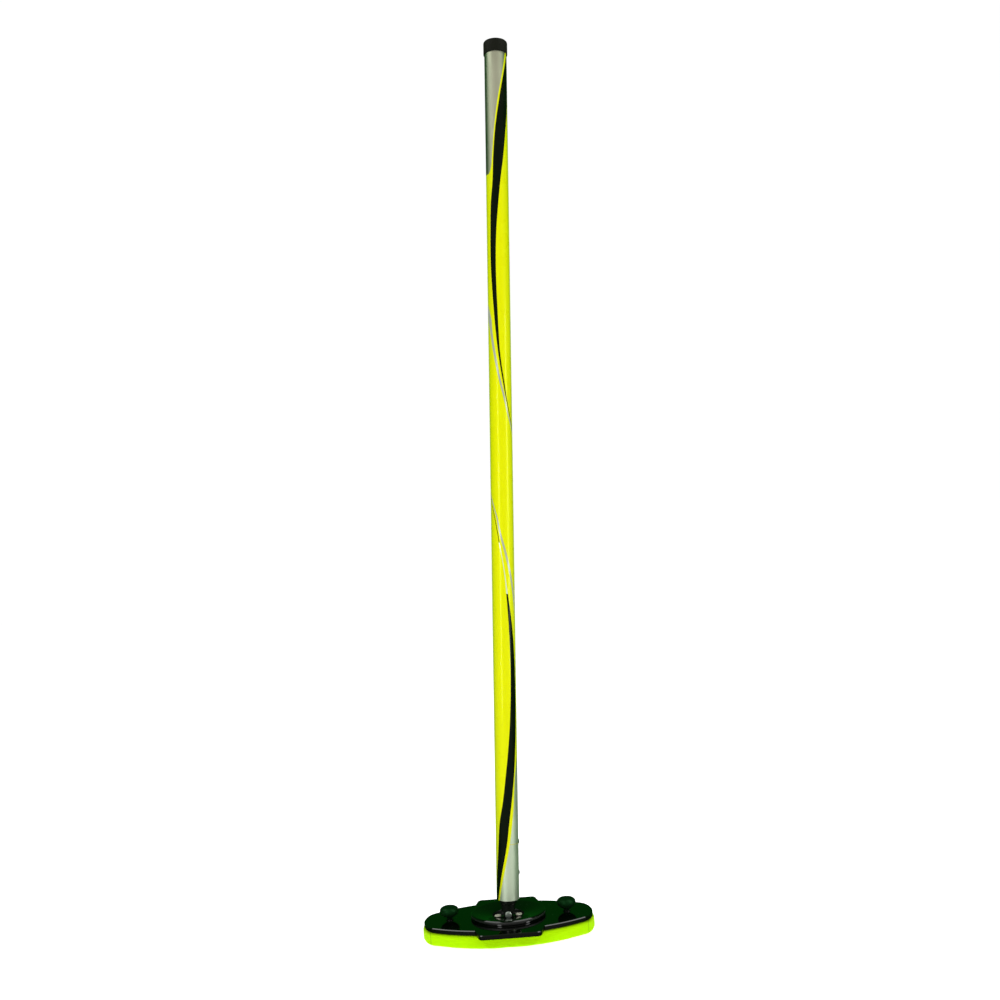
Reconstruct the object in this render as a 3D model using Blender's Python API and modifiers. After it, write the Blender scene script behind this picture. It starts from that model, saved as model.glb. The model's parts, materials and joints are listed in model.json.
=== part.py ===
"""Curling brush: a fabric pad on a glossy head plate, a swivelling disc with a tilting hub, and a
long painted tube with a rubber end cap. Metres, +Z up, origin at the centre of the pad's underside.
X runs along the head, Y across it. Four groups move: the disc swivels about Z, the shaft tilts about
Y, and each clamp knob turns on its washer while its stud climbs out of the pad's threaded insert."""

import math

import bmesh
import bpy
from mathutils import Vector

MM = 0.001
GAP = 0.3 * MM

# Head outline: a side arc, a corner arc and an end arc in each quarter, and a cross tab.
HEAD_HALF_LENGTH = 107.0 * MM
HEAD_HALF_DEPTH = 61.0 * MM
SIDE_RADIUS = 170.0 * MM
CORNER_RADIUS = 22.0 * MM
END_RADIUS = 57.0 * MM
TAB_HALF_WIDTH = 38.8 * MM
TAB_ROOT_HALF_WIDTH = 42.2 * MM
TAB_HALF_DEPTH = 77.0 * MM
TAB_CORNER_RADIUS = 6.0 * MM

# Pad
PAD_OVERHANG = 2.5 * MM
PAD_HEIGHT = 16.7 * MM
PAD_EDGE_ROUNDING = 4.0 * MM
COVER_THICKNESS = 1.0 * MM
BOARD_THICKNESS = 3.7 * MM
BOARD_INSET = 2.0 * MM

# Head plate
PLATE_BOTTOM = PAD_HEIGHT + GAP
PLATE_THICKNESS = 5.8 * MM
PLATE_TOP = PLATE_BOTTOM + PLATE_THICKNESS
PLATE_EDGE_ROUNDING = 1.0 * MM
SWIVEL_BORE_RADIUS = 22.3 * MM
RETAINER_POCKET_RADIUS = 28.2 * MM
RETAINER_POCKET_DEPTH = 2.0 * MM

# Turntable
DISC_RADIUS = 47.4 * MM
DISC_RIM_HEIGHT = 6.0 * MM
DISC_DISH_RADIUS = 20.2 * MM
DISC_DISH_HEIGHT = 1.8 * MM
DISC_RIM_CHAMFER = 0.9 * MM
DISC_CUP_RADIUS = 21.9 * MM
DISC_FLOOR_TOP = PLATE_TOP - 2.6 * MM
DISC_FLOOR_BOTTOM = PLATE_TOP - 3.8 * MM
RING_INNER_RADIUS = 37.0 * MM
RING_OUTER_RADIUS = 46.2 * MM
RING_HEIGHT = 1.8 * MM
RETAINER_RADIUS = 27.8 * MM
RETAINER_THICKNESS = 1.5 * MM

# Tilting hub
PIVOT_Z = PLATE_TOP + 2.9 * MM
SHAFT_LEAN = math.radians(3.1)
LUG_HALF_THICKNESS = 3.3 * MM
LUG_RADIUS = 5.6 * MM
LUG_PAD_RADIUS = 5.0 * MM
LUG_FOOT_THICKNESS = 1.7 * MM
LUG_SCREW_X = 13.3 * MM
LUG_SCREW_RADIUS = 2.0 * MM
LUG_SCREW_HEAD_RADIUS = 4.2 * MM
LUG_SCREW_HEAD_HEIGHT = 1.5 * MM
LUG_SCREW_HEAD_CHAMFER = 0.4 * MM
LUG_SCREW_RECESS_RADIUS = 2.0 * MM
LUG_SCREW_RECESS_DEPTH = 0.6 * MM
WASHER_THICKNESS = 0.6 * MM
FORK_SLOT_HALF = 4.1 * MM
FORK_RADIUS = 9.2 * MM
FORK_END_RADIUS = 5.2 * MM
FORK_WAIST_ANGLE = math.radians(12.5)
FORK_WAIST_HEIGHT = 5.6 * MM
FORK_SHOULDER_HEIGHT = 12.0 * MM
FORK_CROTCH = 9.5 * MM
PIN_RADIUS = 2.5 * MM
PIN_HEAD_RADIUS = 4.3 * MM
PIN_HEAD_HEIGHT = 1.9 * MM
PIN_HEAD_RIM = 0.9 * MM
PIN_TAIL = 1.2 * MM
PIN_TAIL_CHAMFER = 0.5 * MM
NUT_RADIUS = 4.4 * MM
NUT_HEIGHT = 3.4 * MM
BORE_CLEARANCE = 0.1 * MM

# Shaft, measured along its own axis from the tilt pivot
TUBE_RADIUS = 14.3 * MM
TUBE_WALL = 1.3 * MM
TUBE_START = 18.2 * MM
TUBE_END = 1115.0 * MM
COLLAR_RADIUS = 10.9 * MM
COLLAR_BOTTOM = 13.5 * MM
PLUG_LENGTH = 84.0 * MM
RIVET_HEIGHTS = (33.0 * MM, 72.0 * MM)
RIVET_HEAD_RADIUS = 3.0 * MM
RIVET_HEAD_HEIGHT = 1.2 * MM
RIVET_HEAD_RIM = 0.3 * MM
RIVET_SHANK_RADIUS = 1.6 * MM
RIVET_SHANK_END = 7.0 * MM
CAP_RADIUS = 15.4 * MM
CAP_SKIRT_START = 1102.3 * MM
CAP_TOP = 1119.8 * MM
CAP_PLUG_START = 1095.5 * MM
CAP_EDGE_ROUNDING = 2.2 * MM
CAP_LIP_CHAMFER = 0.4 * MM

# Clamp knobs
KNOB_X = 74.5 * MM
KNOB_RADIUS = 12.0 * MM
KNOB_HEIGHT = 17.6 * MM
KNOB_RIM_HEIGHT = 11.4 * MM
KNOB_STEM_RADIUS = 3.4 * MM
KNOB_UNDERSIDE_MM = ((11.5, 10.4), (9.4, 7.6), (7.4, 5.8), (6.2, 4.6), (4.0, 3.4))
KNOB_WASHER_RADIUS = 5.0 * MM
KNOB_WASHER_THICKNESS = 0.8 * MM
STUD_RADIUS = 2.5 * MM
STUD_BOTTOM = 9.3 * MM
STUD_TOP = PLATE_TOP + 10.0 * MM
STUD_TIP_CHAMFER = 0.6 * MM
INSERT_RADIUS = 4.0 * MM
INSERT_FLANGE_RADIUS = 6.3 * MM
INSERT_FLANGE_HEIGHT = 1.1 * MM

ROUND_STEPS = 48
TUBE_STEPS = 32
KNOB_STEPS = 24
SMALL_STEPS = 20
DOME_STEPS = 4
KNOB_DOME_STEPS = 6
TURN = 2.0 * math.pi
LYING = (math.pi / 2, 0, 0)
TO_PLUS_X = (0, math.pi / 2, 0)
DOME_ANGLES = [math.pi / 2 * i / DOME_STEPS for i in range(1, DOME_STEPS + 1)]

for leftover in list(bpy.data.objects):
    bpy.data.objects.remove(leftover, do_unlink=True)


def new_collection(name):
    collection = bpy.data.collections.new(name)
    bpy.context.scene.collection.children.link(collection)
    return collection


PARTS = new_collection("curling_brush")
CUTTERS = new_collection("cutters")


# ---------------------------------------------------------------- materials


def material(name, colour, roughness, metallic=0.0):
    made = bpy.data.materials.new(name)
    made.use_nodes = True
    made.diffuse_color = (*colour, 1.0)
    shader = made.node_tree.nodes["Principled BSDF"]
    shader.inputs["Base Color"].default_value = (*colour, 1.0)
    shader.inputs["Roughness"].default_value = roughness
    shader.inputs["Metallic"].default_value = metallic
    return made


MATERIALS = {
    "pad_fabric": material("pad_fabric", (0.45, 0.95, 0.0), 0.85),
    "pad_foam": material("pad_foam", (0.62, 0.6, 0.5), 0.9),
    "board_plastic": material("board_plastic", (0.05, 0.05, 0.05), 0.6),
    "head_gloss": material("head_gloss", (0.006, 0.01, 0.006), 0.08),
    "disc_gloss": material("disc_gloss", (0.008, 0.012, 0.008), 0.12),
    "hub_plastic": material("hub_plastic", (0.02, 0.022, 0.02), 0.3),
    "knob_plastic": material("knob_plastic", (0.006, 0.012, 0.006), 0.3),
    "slide_plastic": material("slide_plastic", (0.6, 0.6, 0.56), 0.5),
    "steel": material("steel", (0.62, 0.62, 0.6), 0.3, 1.0),
    "brass": material("brass", (0.75, 0.55, 0.2), 0.35, 1.0),
    "shaft_paint": material("shaft_paint", (0.82, 0.87, 0.0), 0.15),
    "cap_rubber": material("cap_rubber", (0.014, 0.015, 0.012), 0.7),
}


# ------------------------------------------------------------ shape helpers


def place(name, data, slot, parent=None, location=(0, 0, 0), rotation=(0, 0, 0)):
    made = bpy.data.objects.new(name, data)
    made.location = location
    made.rotation_euler = rotation
    made.parent = parent
    if slot is None:
        CUTTERS.objects.link(made)
        made.hide_render = True
        made.display_type = "WIRE"
    else:
        PARTS.objects.link(made)
        data.materials.append(MATERIALS[slot])
    return made


def axis_empty(name, location, rotation=(0, 0, 0), parent=None):
    """An empty on a joint's axis, which the joint's moving pieces are parented to."""
    made = bpy.data.objects.new(name, None)
    made.location = location
    made.rotation_euler = rotation
    made.parent = parent
    PARTS.objects.link(made)
    return made


def mesh_of(bm, name):
    data = bpy.data.meshes.new(name)
    bm.to_mesh(data)
    bm.free()
    return data


def turned(name, profile, slot, steps=ROUND_STEPS, closed=False, **placing):
    """Turns a (radius, height) profile about Z. An open one starts and ends on the axis; a closed
    one is a ring. Both run outward over the top and down the outer side."""
    bm = bmesh.new()
    points = [bm.verts.new((radius, 0.0, height)) for radius, height in profile]
    for first, second in zip(points, points[1:]):
        bm.edges.new((first, second))
    if closed:
        bm.edges.new((points[-1], points[0]))
    made = place(name, mesh_of(bm, name), slot, **placing)
    screw = made.modifiers.new("turn", "SCREW")
    screw.angle = TURN
    screw.steps = steps
    screw.render_steps = steps
    screw.use_merge_vertices = True
    screw.merge_threshold = 0.00001
    screw.use_smooth_shade = True
    return made


def rod_mesh(name, radius, bottom, top, steps=SMALL_STEPS):
    bm = bmesh.new()
    depth = top - bottom
    bmesh.ops.create_cone(bm, cap_ends=True, segments=steps, radius1=radius, radius2=radius, depth=depth)
    bmesh.ops.translate(bm, verts=bm.verts, vec=(0, 0, (bottom + top) / 2))
    return mesh_of(bm, name)


def box_mesh(name, low, high):
    bm = bmesh.new()
    low, high = Vector(low), Vector(high)
    bmesh.ops.create_cube(bm, size=1.0)
    bmesh.ops.scale(bm, verts=bm.verts, vec=high - low)
    bmesh.ops.translate(bm, verts=bm.verts, vec=(low + high) / 2)
    return mesh_of(bm, name)


def extruded(name, outline, bottom, top, slot, **placing):
    """A flat outline in XY between two heights, from a filled 2D curve made into a welded mesh.
    The curve is drawn in millimetres, because a filled curve merges points that lie too close."""
    curve = bpy.data.curves.new(name + "_outline", "CURVE")
    curve.dimensions = "2D"
    curve.fill_mode = "BOTH"
    curve.extrude = (top - bottom) / 2 / MM
    spline = curve.splines.new("POLY")
    spline.points.add(len(outline) - 1)
    for point, (x, y) in zip(spline.points, outline):
        point.co = (x / MM, y / MM, 0.0, 1.0)
    spline.use_cyclic_u = True
    flat = bpy.data.objects.new(name + "_outline", curve)
    bpy.context.scene.collection.objects.link(flat)
    bpy.context.view_layer.update()
    graph = bpy.context.evaluated_depsgraph_get()
    data = bpy.data.meshes.new_from_object(flat.evaluated_get(graph))
    bpy.data.objects.remove(flat)
    bpy.data.curves.remove(curve)
    bm = bmesh.new()
    bm.from_mesh(data)
    bmesh.ops.remove_doubles(bm, verts=bm.verts, dist=0.001)
    bmesh.ops.dissolve_limit(bm, angle_limit=0.001, verts=bm.verts, edges=bm.edges)
    bmesh.ops.scale(bm, verts=bm.verts, vec=(MM, MM, MM))
    bmesh.ops.translate(bm, verts=bm.verts, vec=(0, 0, (bottom + top) / 2))
    bmesh.ops.recalc_face_normals(bm, faces=bm.faces)
    bm.to_mesh(data)
    bm.free()
    data.materials.clear()
    return place(name, data, slot, **placing)


def round_edges(target, width, segments=2, angle=50.0):
    bevel = target.modifiers.new("rounding", "BEVEL")
    bevel.width = width
    bevel.segments = segments
    bevel.limit_method = "ANGLE"
    bevel.angle_limit = math.radians(angle)


def combine(target, other, operation):
    step = target.modifiers.new(operation.lower(), "BOOLEAN")
    step.operation = operation
    step.solver = "EXACT"
    step.object = other


def drill(target, radius, bottom, top, location=(0, 0, 0), rotation=(0, 0, 0), steps=SMALL_STEPS):
    """Cuts a round hole. The location and rotation are in the target's parent's space."""
    name = f"{target.name}_hole_{len(target.modifiers)}"
    cutter = rod_mesh(name, radius, bottom, top, steps)
    hole = place(name, cutter, None, target.parent, location, rotation)
    combine(target, hole, "DIFFERENCE")


def arc(centre, radius, start, end, count):
    """Points on an arc, in order, both ends included. Angles in radians."""
    angles = [start + (end - start) * i / (count - 1) for i in range(count)]
    return [(centre[0] + radius * math.cos(a), centre[1] + radius * math.sin(a)) for a in angles]


def dome(radius, rim, top):
    """Profile of a domed head from just off the axis out to its rim height."""
    return [(radius * math.sin(a), rim + (top - rim) * math.cos(a)) for a in DOME_ANGLES]


def mirrored_outline(quarter):
    """A whole outline, anticlockwise, from its first-quadrant points in order from +X to +Y."""
    left = [(-x, y) for x, y in reversed(quarter)]
    upper = quarter + left
    lower = [(-x, -y) for x, y in upper]
    points = []
    for point in upper + lower:
        if not points or math.dist(point, points[-1]) > 0.01 * MM:
            points.append(point)
    if math.dist(points[0], points[-1]) < 0.01 * MM:
        points.pop()
    return points


# ------------------------------------------------------------- head outline

END_CENTRE = (HEAD_HALF_LENGTH - END_RADIUS, 0.0)
SIDE_CENTRE = (0.0, HEAD_HALF_DEPTH - SIDE_RADIUS)


def corner_centre():
    """Where a corner arc's centre lies so that it runs smoothly into the end arc and the side arc."""
    reach_end = END_RADIUS - CORNER_RADIUS
    reach_side = SIDE_RADIUS - CORNER_RADIUS
    across = Vector(SIDE_CENTRE) - Vector(END_CENTRE)
    span = across.length
    along = (reach_end**2 - reach_side**2 + span**2) / (2 * span)
    off = math.sqrt(reach_end**2 - along**2)
    unit = across / span
    return Vector(END_CENTRE) + unit * along + Vector((-unit.y, unit.x)) * off


def head_quarter(offset=0.0, from_x=0.0):
    """First-quadrant head outline, grown by an offset, from the +X end round to x = from_x."""
    corner = corner_centre()
    end_angle = math.atan2(corner.y - END_CENTRE[1], corner.x - END_CENTRE[0])
    side_angle = math.atan2(corner.y - SIDE_CENTRE[1], corner.x - SIDE_CENTRE[0])
    side_radius = SIDE_RADIUS + offset
    last_angle = math.acos(from_x / side_radius)
    points = arc(END_CENTRE, END_RADIUS + offset, 0.0, end_angle, 6)
    points += arc(corner, CORNER_RADIUS + offset, end_angle, side_angle, 6)[1:]
    points += arc(SIDE_CENTRE, side_radius, side_angle, last_angle, 9)[1:]
    return points


def plate_quarter():
    tab_centre = (TAB_HALF_WIDTH - TAB_CORNER_RADIUS, TAB_HALF_DEPTH - TAB_CORNER_RADIUS)
    corner = arc(tab_centre, TAB_CORNER_RADIUS, 0.0, math.pi / 2, 6)
    return head_quarter(from_x=TAB_ROOT_HALF_WIDTH) + corner


# ---------------------------------------------------------------------- pad


def build_pad():
    outline = mirrored_outline(head_quarter(PAD_OVERHANG))
    cover = extruded("pad_cover", outline, 0.0, PAD_HEIGHT, "pad_fabric")
    bm = bmesh.new()
    bm.from_mesh(cover.data)
    top = [f for f in bm.faces if f.normal.z > 0.9]
    bmesh.ops.delete(bm, geom=top, context="FACES_ONLY")
    rim = [e for e in bm.edges if all(v.co.z < GAP for v in e.verts) and len(e.link_faces) == 2]
    rim = [e for e in rim if abs(e.calc_face_angle(0.0)) > 1.0]
    bmesh.ops.bevel(bm, geom=rim, offset=PAD_EDGE_ROUNDING, segments=3, profile=0.5, affect="EDGES")
    bm.to_mesh(cover.data)
    bm.free()
    shell = cover.modifiers.new("cloth", "SOLIDIFY")
    shell.thickness = COVER_THICKNESS
    shell.offset = -1.0
    shell.use_even_offset = True

    board_bottom = PAD_HEIGHT - BOARD_THICKNESS
    inside = PAD_OVERHANG - COVER_THICKNESS - GAP
    foam_outline = mirrored_outline(head_quarter(inside))
    foam = extruded("pad_foam", foam_outline, COVER_THICKNESS + GAP, board_bottom - GAP, "pad_foam")
    bm = bmesh.new()
    bm.from_mesh(foam.data)
    lowest = min(v.co.z for v in bm.verts)
    rim = [e for e in bm.edges if all(v.co.z < lowest + GAP for v in e.verts)]
    bmesh.ops.bevel(bm, geom=rim, offset=PAD_EDGE_ROUNDING, segments=3, profile=0.5, affect="EDGES")
    bm.to_mesh(foam.data)
    bm.free()

    board_outline = mirrored_outline(head_quarter(-BOARD_INSET))
    board = extruded("pad_board", board_outline, board_bottom, PAD_HEIGHT, "board_plastic")

    flange_bottom = board_bottom - GAP - INSERT_FLANGE_HEIGHT
    insert_top = PAD_HEIGHT - GAP
    bore = STUD_RADIUS + BORE_CLEARANCE
    profile = [
        (bore, insert_top),
        (INSERT_RADIUS, insert_top),
        (INSERT_RADIUS, board_bottom - GAP),
        (INSERT_FLANGE_RADIUS, board_bottom - GAP),
        (INSERT_FLANGE_RADIUS, flange_bottom),
        (bore, flange_bottom),
    ]
    for side, x in (("left", -KNOB_X), ("right", KNOB_X)):
        turned(f"pad_insert_{side}", profile, "brass", SMALL_STEPS, closed=True, location=(x, 0, 0))
        drill(foam, INSERT_FLANGE_RADIUS + GAP, STUD_BOTTOM - GAP, PAD_HEIGHT, (x, 0, 0))
        drill(board, INSERT_RADIUS + GAP, 0.0, PAD_HEIGHT + GAP, (x, 0, 0))


# --------------------------------------------------------------- head plate


def build_plate():
    outline = mirrored_outline(plate_quarter())
    plate = extruded("head_plate", outline, PLATE_BOTTOM, PLATE_TOP, "head_gloss")
    round_edges(plate, PLATE_EDGE_ROUNDING)
    drill(plate, SWIVEL_BORE_RADIUS, 0.0, PLATE_TOP + MM, steps=ROUND_STEPS)
    pocket_top = PLATE_BOTTOM + RETAINER_POCKET_DEPTH
    drill(plate, RETAINER_POCKET_RADIUS, 0.0, pocket_top, steps=ROUND_STEPS)
    for x in (-KNOB_X, KNOB_X):
        drill(plate, STUD_RADIUS + GAP, 0.0, PLATE_TOP + MM, (x, 0, 0))

    ring_bottom = PLATE_TOP + GAP / 2
    profile = [
        (RING_INNER_RADIUS, ring_bottom + RING_HEIGHT),
        (RING_OUTER_RADIUS, ring_bottom + RING_HEIGHT),
        (RING_OUTER_RADIUS, ring_bottom),
        (RING_INNER_RADIUS, ring_bottom),
    ]
    turned("bearing_ring", profile, "disc_gloss", closed=True)


# ---------------------------------------------------------------- turntable


def build_turntable(axis):
    """The pieces are modelled at world heights, so each is moved down by its parent's height."""
    drop = (0, 0, -PLATE_TOP)
    rim_top = PLATE_TOP + DISC_RIM_HEIGHT
    over_ring = PLATE_TOP + RING_HEIGHT + 2 * GAP
    profile = [
        (0.0, DISC_FLOOR_TOP),
        (DISC_DISH_RADIUS, DISC_FLOOR_TOP),
        (DISC_DISH_RADIUS, PLATE_TOP + DISC_DISH_HEIGHT - DISC_RIM_CHAMFER / 2),
        (DISC_DISH_RADIUS + DISC_RIM_CHAMFER / 2, PLATE_TOP + DISC_DISH_HEIGHT),
        (DISC_RADIUS - 2 * DISC_RIM_CHAMFER, rim_top),
        (DISC_RADIUS - DISC_RIM_CHAMFER, rim_top),
        (DISC_RADIUS, rim_top - DISC_RIM_CHAMFER),
        (DISC_RADIUS, over_ring),
        (RING_INNER_RADIUS - 2 * GAP, over_ring),
        (RING_INNER_RADIUS - 2 * GAP, PLATE_TOP + GAP),
        (DISC_CUP_RADIUS, PLATE_TOP + GAP),
        (DISC_CUP_RADIUS, DISC_FLOOR_BOTTOM),
        (0.0, DISC_FLOOR_BOTTOM),
    ]
    disc = turned("swivel_disc", profile, "disc_gloss", parent=axis, location=drop)

    retainer_top = DISC_FLOOR_BOTTOM - GAP
    retainer_bottom = retainer_top - RETAINER_THICKNESS
    profile = [
        (0.0, retainer_top),
        (RETAINER_RADIUS, retainer_top),
        (RETAINER_RADIUS, retainer_bottom),
        (0.0, retainer_bottom),
    ]
    retainer = turned("turntable_retainer", profile, "slide_plastic", parent=axis, location=drop)

    foot_bottom = DISC_FLOOR_TOP + GAP
    foot_top = foot_bottom + LUG_FOOT_THICKNESS
    profile = [(LUG_SCREW_X, foot_bottom), (LUG_SCREW_X, foot_top), (LUG_RADIUS, foot_top)]
    profile += arc((0, PIVOT_Z), LUG_RADIUS, 0, math.pi, 17)
    profile += [(-LUG_RADIUS, foot_top), (-LUG_SCREW_X, foot_top), (-LUG_SCREW_X, foot_bottom)]
    lug = extruded(
        "pivot_lug", profile, -LUG_HALF_THICKNESS, LUG_HALF_THICKNESS, "hub_plastic",
        parent=axis, location=drop, rotation=LYING,
    )
    for x in (-LUG_SCREW_X, LUG_SCREW_X):
        pad_mesh = rod_mesh("lug_pad", LUG_PAD_RADIUS, foot_bottom, foot_top)
        combine(lug, place("lug_pad", pad_mesh, None, axis, (x, 0, -PLATE_TOP)), "UNION")
    drill(lug, PIN_RADIUS + BORE_CLEARANCE, -LUG_RADIUS, LUG_RADIUS, (0, 0, PIVOT_Z - PLATE_TOP), LYING)

    head_bottom = foot_top + GAP
    head_top = head_bottom + LUG_SCREW_HEAD_HEIGHT
    profile = [
        (0.0, head_top - LUG_SCREW_RECESS_DEPTH),
        (LUG_SCREW_RECESS_RADIUS, head_top - LUG_SCREW_RECESS_DEPTH),
        (LUG_SCREW_RECESS_RADIUS, head_top),
        (LUG_SCREW_HEAD_RADIUS - LUG_SCREW_HEAD_CHAMFER, head_top),
        (LUG_SCREW_HEAD_RADIUS, head_top - LUG_SCREW_HEAD_CHAMFER),
        (LUG_SCREW_HEAD_RADIUS, head_bottom),
        (LUG_SCREW_RADIUS, head_bottom),
        (LUG_SCREW_RADIUS, retainer_bottom + GAP),
        (0.0, retainer_bottom + GAP),
    ]
    for side, x in (("left", -LUG_SCREW_X), ("right", LUG_SCREW_X)):
        at = (x, 0, -PLATE_TOP)
        turned(f"lug_screw_{side}", profile, "steel", SMALL_STEPS, parent=axis, location=at)
        for target in (lug, disc, retainer):
            drill(target, LUG_SCREW_RADIUS + GAP, 0.0, head_bottom, at)


# ------------------------------------------------------------- tilting shaft


def build_hub(axis):
    """Heights are along the shaft from the tilt pivot."""
    plug_radius = TUBE_RADIUS - TUBE_WALL - GAP
    plug_top = TUBE_START + PLUG_LENGTH
    profile = [
        (0.0, plug_top),
        (plug_radius - MM, plug_top),
        (plug_radius, plug_top - MM),
        (plug_radius, TUBE_START + GAP),
        (COLLAR_RADIUS, TUBE_START - 2 * GAP),
        (COLLAR_RADIUS, COLLAR_BOTTOM),
        (FORK_RADIUS, COLLAR_BOTTOM - (COLLAR_RADIUS - FORK_RADIUS)),
        (FORK_RADIUS, -FORK_END_RADIUS),
        (0.0, -FORK_END_RADIUS),
    ]
    connector = turned("shaft_connector", profile, "hub_plastic", parent=axis)

    wide = FORK_RADIUS + MM
    tall = plug_top + MM
    ear = arc((0, 0), FORK_END_RADIUS, -math.pi - FORK_WAIST_ANGLE, FORK_WAIST_ANGLE, 15)
    ear += [(wide, FORK_WAIST_HEIGHT), (2 * wide, FORK_SHOULDER_HEIGHT), (2 * wide, tall)]
    ear += [(-2 * wide, tall), (-2 * wide, FORK_SHOULDER_HEIGHT), (-wide, FORK_WAIST_HEIGHT)]
    ear_shape = extruded("fork_ear", ear, -2 * wide, 2 * wide, None, parent=axis, rotation=LYING)
    combine(connector, ear_shape, "INTERSECT")
    low = (-2 * wide, -FORK_SLOT_HALF, -2 * wide)
    high = (2 * wide, FORK_SLOT_HALF, FORK_CROTCH)
    slot = place("fork_slot", box_mesh("fork_slot", low, high), None, axis)
    combine(connector, slot, "DIFFERENCE")
    drill(connector, PIN_RADIUS + BORE_CLEARANCE, -2 * wide, 2 * wide, rotation=LYING)

    washer = [
        (PIN_RADIUS + 2 * BORE_CLEARANCE, WASHER_THICKNESS),
        (FORK_END_RADIUS - GAP, WASHER_THICKNESS),
        (FORK_END_RADIUS - GAP, 0.0),
        (PIN_RADIUS + 2 * BORE_CLEARANCE, 0.0),
    ]
    start = (LUG_HALF_THICKNESS + FORK_SLOT_HALF - WASHER_THICKNESS) / 2
    for side, y in (("front", -start), ("back", start + WASHER_THICKNESS)):
        turned(
            f"friction_washer_{side}", washer, "slide_plastic", SMALL_STEPS, closed=True,
            parent=axis, location=(0, y, 0), rotation=LYING,
        )

    seat = FORK_RADIUS + BORE_CLEARANCE
    tail = seat + NUT_HEIGHT + PIN_TAIL
    pin = [(0.0, seat + PIN_HEAD_HEIGHT)]
    pin += dome(PIN_HEAD_RADIUS, seat + PIN_HEAD_RIM, seat + PIN_HEAD_HEIGHT)
    pin += [
        (PIN_HEAD_RADIUS, seat),
        (PIN_RADIUS, seat),
        (PIN_RADIUS, PIN_TAIL_CHAMFER - tail),
        (PIN_RADIUS - PIN_TAIL_CHAMFER, -tail),
        (0.0, -tail),
    ]
    turned("pivot_pin", pin, "steel", SMALL_STEPS, parent=axis, rotation=LYING)
    nut_mesh = rod_mesh("pivot_nut", NUT_RADIUS, -seat - NUT_HEIGHT, -seat, 6)
    nut = place("pivot_nut", nut_mesh, "steel", axis, rotation=LYING)
    drill(nut, PIN_RADIUS + BORE_CLEARANCE, -2 * tail, 0.0, rotation=LYING)
    return connector


def build_shaft(axis, connector):
    tube_inside = TUBE_RADIUS - TUBE_WALL
    profile = [
        (tube_inside, TUBE_END),
        (TUBE_RADIUS, TUBE_END),
        (TUBE_RADIUS, TUBE_START),
        (tube_inside, TUBE_START),
    ]
    tube = turned("shaft_tube", profile, "shaft_paint", TUBE_STEPS, closed=True, parent=axis)

    seat = TUBE_RADIUS + BORE_CLEARANCE
    rivet = [(0.0, seat + RIVET_HEAD_HEIGHT)]
    rivet += dome(RIVET_HEAD_RADIUS, seat + RIVET_HEAD_RIM, seat + RIVET_HEAD_HEIGHT)
    rivet += [
        (RIVET_HEAD_RADIUS, seat),
        (RIVET_SHANK_RADIUS, seat),
        (RIVET_SHANK_RADIUS, RIVET_SHANK_END),
        (0.0, RIVET_SHANK_END),
    ]
    for level, height in zip(("lower", "upper"), RIVET_HEIGHTS):
        at = (0, 0, TUBE_START + height)
        turned(
            f"tube_rivet_{level}", rivet, "steel", SMALL_STEPS,
            parent=axis, location=at, rotation=TO_PLUS_X,
        )
        hole_radius = RIVET_SHANK_RADIUS + GAP / 2
        for target in (tube, connector):
            drill(target, hole_radius, RIVET_SHANK_END - GAP, 2 * TUBE_RADIUS, at, TO_PLUS_X)

    skirt_inside = TUBE_RADIUS + GAP / 2
    plug_radius = tube_inside - GAP
    edge_centre = (CAP_RADIUS - CAP_EDGE_ROUNDING, CAP_TOP - CAP_EDGE_ROUNDING)
    cap = [(0.0, CAP_TOP)]
    cap += reversed(arc(edge_centre, CAP_EDGE_ROUNDING, 0.0, math.pi / 2, DOME_STEPS + 1))
    cap += [
        (CAP_RADIUS, CAP_SKIRT_START + CAP_LIP_CHAMFER),
        (CAP_RADIUS - CAP_LIP_CHAMFER, CAP_SKIRT_START),
        (skirt_inside, CAP_SKIRT_START),
        (skirt_inside, TUBE_END + GAP),
        (plug_radius, TUBE_END + GAP),
        (plug_radius, CAP_PLUG_START),
        (0.0, CAP_PLUG_START),
    ]
    turned("end_cap", cap, "cap_rubber", TUBE_STEPS, parent=axis)


# -------------------------------------------------------------------- knobs


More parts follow.
